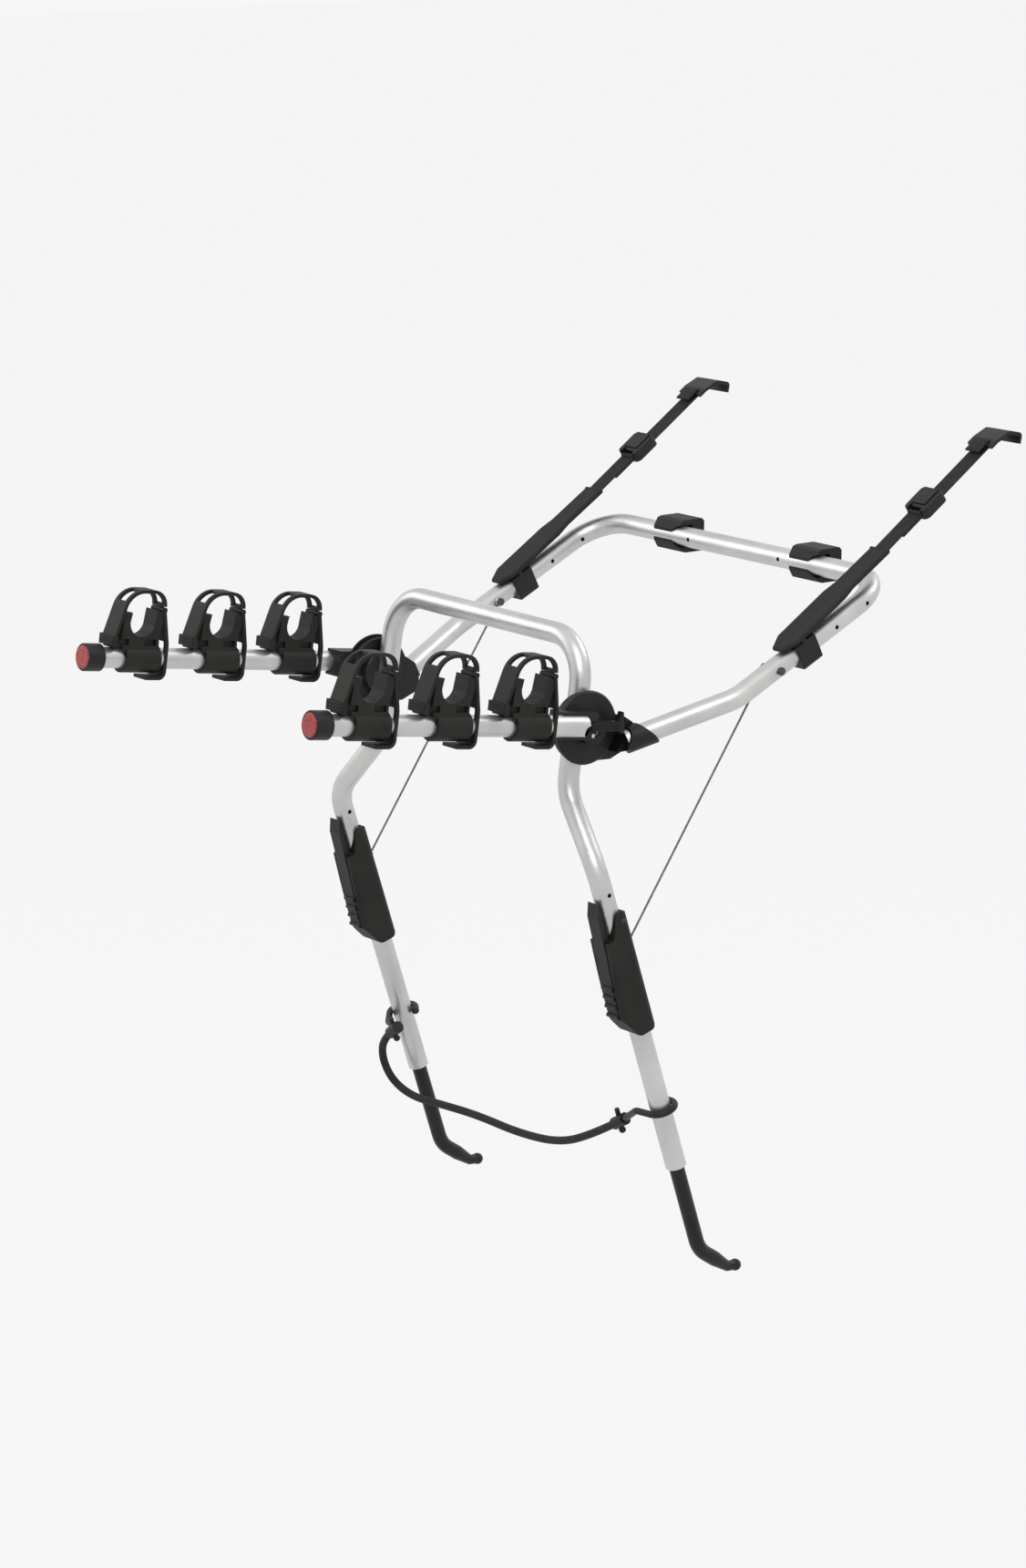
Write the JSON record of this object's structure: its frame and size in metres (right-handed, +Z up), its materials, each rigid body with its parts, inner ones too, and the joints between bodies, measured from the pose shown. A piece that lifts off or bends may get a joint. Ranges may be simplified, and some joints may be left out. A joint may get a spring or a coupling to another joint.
{
  "type": "trunk mounted bike rack",
  "caption": "Folding bike rack for the back of a car: bent tube frames, carrying arms with strapped cradles, hatch straps, leg tensioners and a cord.",
  "frame": {"origin": "middle of the upper rail, between the two pads that rest on the hatch", "axes": "+Z up, +Y towards the car, arms towards -Y, X across the car"},
  "size_m": [0.658, 1.1164, 1.1006],
  "materials": {
    "aluminium": "satin brushed tube",
    "black_plastic": "lightly grained black moulding",
    "soft_rubber": "matte black rubber",
    "red_reflector": "clear red moulded prisms",
    "steel_bolts": "dark zinc",
    "steel_cable": "stranded wire",
    "cord_sheath": "braided sheath",
    "webbing": "woven strap",
    "coated_hook": "dipped coating over steel"
  },
  "bodies": {
    "upper_frame": {"upper_frame_tube": "aluminium", "cable_bolts": "steel_bolts", "left_frame_socket": "black_plastic", "left_support_pad": "soft_rubber", "left_strap_saddle": "black_plastic", "right_frame_socket": "black_plastic", "right_support_pad": "soft_rubber", "right_strap_saddle": "black_plastic"},
    "main_frame": {"main_frame_tube": "aluminium", "hub_bolts": "steel_bolts", "tensioner_screws": "steel_bolts", "bungee_cord": "cord_sheath", "left_hub_base": "black_plastic", "left_tensioner_housing": "soft_rubber", "left_steel_cable": "steel_cable", "left_lower_hook": "soft_rubber", "left_cord_clip": "black_plastic", "right_hub_base": "black_plastic", "right_tensioner_housing": "soft_rubber", "right_steel_cable": "steel_cable", "right_lower_hook": "soft_rubber", "right_cord_clip": "black_plastic"},
    "left_arm": {"left_arm_hub": "black_plastic", "left_arm_tube": "aluminium", "left_end_cap": "black_plastic", "left_reflector": "red_reflector"},
    "left_hub_lever": {"left_hub_lever": "black_plastic"},
    "left_cradle_1": {"left_cradle_1": "soft_rubber"},
    "left_cradle_strap_1": {"left_cradle_strap_1": "soft_rubber"},
    "left_cradle_2": {"left_cradle_2": "soft_rubber"},
    "left_cradle_strap_2": {"left_cradle_strap_2": "soft_rubber"},
    "left_cradle_3": {"left_cradle_3": "soft_rubber"},
    "left_cradle_strap_3": {"left_cradle_strap_3": "soft_rubber"},
    "left_tensioner_trigger": {"left_tensioner_trigger": "black_plastic"},
    "left_strap_sleeve": {"left_strap_sleeve": "soft_rubber"},
    "left_hatch_belt": {"left_strap_belt": "webbing", "left_cam_buckle": "black_plastic"},
    "left_buckle_lever": {"left_buckle_lever": "black_plastic"},
    "left_hatch_web": {"left_hatch_web": "webbing", "left_hatch_hook": "coated_hook"},
    "right_arm": {"right_arm_hub": "black_plastic", "right_arm_tube": "aluminium", "right_end_cap": "black_plastic", "right_reflector": "red_reflector"},
    "right_hub_lever": {"right_hub_lever": "black_plastic"},
    "right_cradle_1": {"right_cradle_1": "soft_rubber"},
    "right_cradle_strap_1": {"right_cradle_strap_1": "soft_rubber"},
    "right_cradle_2": {"right_cradle_2": "soft_rubber"},
    "right_cradle_strap_2": {"right_cradle_strap_2": "soft_rubber"},
    "right_cradle_3": {"right_cradle_3": "soft_rubber"},
    "right_cradle_strap_3": {"right_cradle_strap_3": "soft_rubber"},
    "right_tensioner_trigger": {"right_tensioner_trigger": "black_plastic"},
    "right_strap_sleeve": {"right_strap_sleeve": "soft_rubber"},
    "right_hatch_belt": {"right_strap_belt": "webbing", "right_cam_buckle": "black_plastic"},
    "right_buckle_lever": {"right_buckle_lever": "black_plastic"},
    "right_hatch_web": {"right_hatch_web": "webbing", "right_hatch_hook": "coated_hook"}
  },
  "joints": [
    {"name": "main_frame_fold", "type": "hinge", "parent": "upper_frame", "child": "main_frame", "pos_m": [0, -0.4515, -0.1523], "axis": [1, 0, 0], "range_deg": [0, 60], "deforming": ["left_steel_cable", "right_steel_cable"]},
    {"name": "left_arm_fold", "type": "hinge", "parent": "main_frame", "child": "left_arm", "pos_m": [0, -0.4515, -0.1523], "axis": [1, 0, 0], "range_deg": [0, 70]},
    {"name": "left_lever_release", "type": "hinge", "parent": "left_arm", "child": "left_hub_lever", "pos_m": [-0.2575, -0.46019, -0.14481], "axis": [0, 0.134, 0.991], "range_deg": [0, 30]},
    {"name": "left_cradle_slide_1", "type": "slide", "parent": "left_arm", "child": "left_cradle_1", "axis": [0, -0.991, 0.134], "range_m": [0, 0.015]},
    {"name": "left_strap_open_1", "type": "hinge", "parent": "left_cradle_1", "child": "left_cradle_strap_1", "pos_m": [-0.262, -0.53211, -0.06849], "axis": [1, 0, 0], "range_deg": [-110, 0]},
    {"name": "left_cradle_slide_2", "type": "slide", "parent": "left_arm", "child": "left_cradle_2", "axis": [0, -0.991, 0.134], "range_m": [-0.015, 0.015]},
    {"name": "left_strap_open_2", "type": "hinge", "parent": "left_cradle_2", "child": "left_cradle_strap_2", "pos_m": [-0.262, -0.65598, -0.05174], "axis": [1, 0, 0], "range_deg": [-110, 0]},
    {"name": "left_cradle_slide_3", "type": "slide", "parent": "left_arm", "child": "left_cradle_3", "axis": [0, -0.991, 0.134], "range_m": [-0.015, 0.008]},
    {"name": "left_strap_open_3", "type": "hinge", "parent": "left_cradle_3", "child": "left_cradle_strap_3", "pos_m": [-0.262, -0.77986, -0.03499], "axis": [1, 0, 0], "range_deg": [-110, 0]},
    {"name": "left_trigger_press", "type": "hinge", "parent": "main_frame", "child": "left_tensioner_trigger", "pos_m": [-0.29, -0.45921, -0.44885], "axis": [1, 0, 0], "range_deg": [0, 4], "stiffness_Nm_per_rad": 1.5},
    {"name": "left_sleeve_tilt", "type": "hinge", "parent": "upper_frame", "child": "left_strap_sleeve", "pos_m": [-0.306, -0.16061, -0.05851], "axis": [1, 0, 0], "range_deg": [-4, 3]},
    {"name": "left_belt_swing", "type": "hinge", "parent": "left_strap_sleeve", "child": "left_hatch_belt", "pos_m": [-0.306, -0.01638, 0.04255], "axis": [1, 0, 0], "range_deg": [-60, 45]},
    {"name": "left_buckle_open", "type": "hinge", "parent": "left_hatch_belt", "child": "left_buckle_lever", "pos_m": [-0.306, 0.05391, 0.09384], "axis": [1, 0, 0], "range_deg": [0, 80]},
    {"name": "left_web_length", "type": "slide", "parent": "left_hatch_belt", "child": "left_hatch_web", "axis": [0, 0.8192, 0.5736], "range_m": [-0.03, 0.03]},
    {"name": "right_arm_fold", "type": "hinge", "parent": "main_frame", "child": "right_arm", "pos_m": [0, -0.4515, -0.1523], "axis": [1, 0, 0], "range_deg": [0, 70]},
    {"name": "right_lever_release", "type": "hinge", "parent": "right_arm", "child": "right_hub_lever", "pos_m": [0.2575, -0.46019, -0.14481], "axis": [0, 0.134, 0.991], "range_deg": [-30, 0]},
    {"name": "right_cradle_slide_1", "type": "slide", "parent": "right_arm", "child": "right_cradle_1", "axis": [0, -0.991, 0.134], "range_m": [0, 0.015]},
    {"name": "right_strap_open_1", "type": "hinge", "parent": "right_cradle_1", "child": "right_cradle_strap_1", "pos_m": [0.262, -0.53211, -0.06849], "axis": [1, 0, 0], "range_deg": [-110, 0]},
    {"name": "right_cradle_slide_2", "type": "slide", "parent": "right_arm", "child": "right_cradle_2", "axis": [0, -0.991, 0.134], "range_m": [-0.015, 0.015]},
    {"name": "right_strap_open_2", "type": "hinge", "parent": "right_cradle_2", "child": "right_cradle_strap_2", "pos_m": [0.262, -0.65598, -0.05174], "axis": [1, 0, 0], "range_deg": [-110, 0]},
    {"name": "right_cradle_slide_3", "type": "slide", "parent": "right_arm", "child": "right_cradle_3", "axis": [0, -0.991, 0.134], "range_m": [-0.015, 0.008]},
    {"name": "right_strap_open_3", "type": "hinge", "parent": "right_cradle_3", "child": "right_cradle_strap_3", "pos_m": [0.262, -0.77986, -0.03499], "axis": [1, 0, 0], "range_deg": [-110, 0]},
    {"name": "right_trigger_press", "type": "hinge", "parent": "main_frame", "child": "right_tensioner_trigger", "pos_m": [0.29, -0.45921, -0.44885], "axis": [1, 0, 0], "range_deg": [0, 4], "stiffness_Nm_per_rad": 1.5},
    {"name": "right_sleeve_tilt", "type": "hinge", "parent": "upper_frame", "child": "right_strap_sleeve", "pos_m": [0.306, -0.16061, -0.05851], "axis": [1, 0, 0], "range_deg": [-4, 3]},
    {"name": "right_belt_swing", "type": "hinge", "parent": "right_strap_sleeve", "child": "right_hatch_belt", "pos_m": [0.306, -0.01638, 0.04255], "axis": [1, 0, 0], "range_deg": [-60, 45]},
    {"name": "right_buckle_open", "type": "hinge", "parent": "right_hatch_belt", "child": "right_buckle_lever", "pos_m": [0.306, 0.05391, 0.09384], "axis": [1, 0, 0], "range_deg": [0, 80]},
    {"name": "right_web_length", "type": "slide", "parent": "right_hatch_belt", "child": "right_hatch_web", "axis": [0, 0.8192, 0.5736], "range_m": [-0.03, 0.03]}
  ]
}
